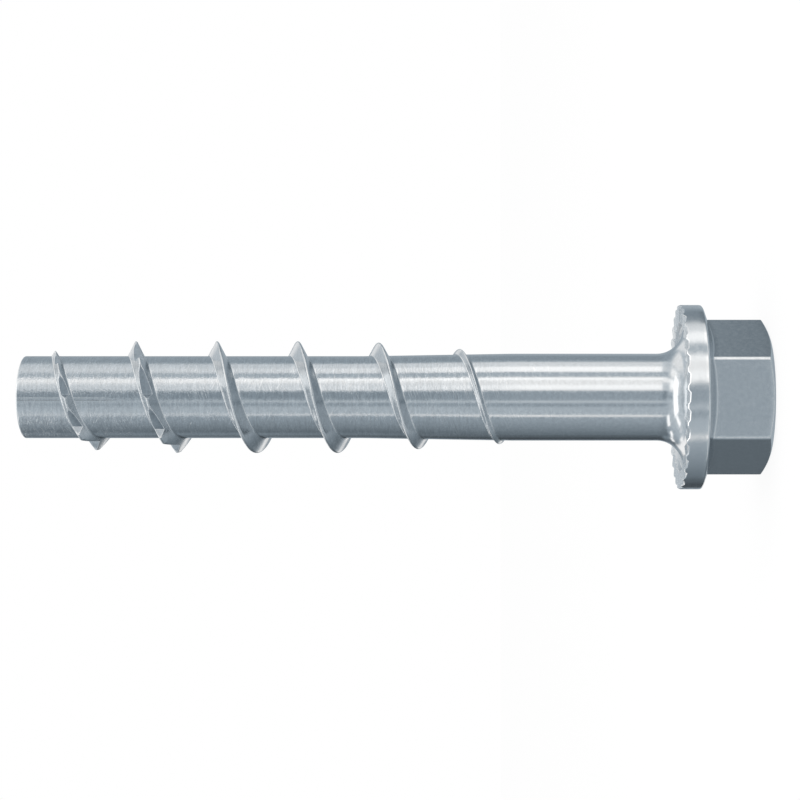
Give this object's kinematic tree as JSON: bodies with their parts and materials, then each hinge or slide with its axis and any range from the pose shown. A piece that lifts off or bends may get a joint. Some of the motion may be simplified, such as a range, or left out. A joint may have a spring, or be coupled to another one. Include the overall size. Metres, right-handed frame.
{
  "type": "concrete screw",
  "caption": "One-piece concrete screw with a flanged hexagon head, a plain shank, a coarse thread notched near the tip and locking teeth under the flange.",
  "frame": {"origin": "centre of the head's end face, which the screw stands on", "axes": "+Z along the screw's axis from the head to the tip"},
  "size_m": [0.0204, 0.0204, 0.0823],
  "materials": {
    "zinc_plated_steel": "bright zinc plating, satin"
  },
  "bodies": {
    "root": {"concrete_screw": "zinc_plated_steel"}
  },
  "joints": []
}
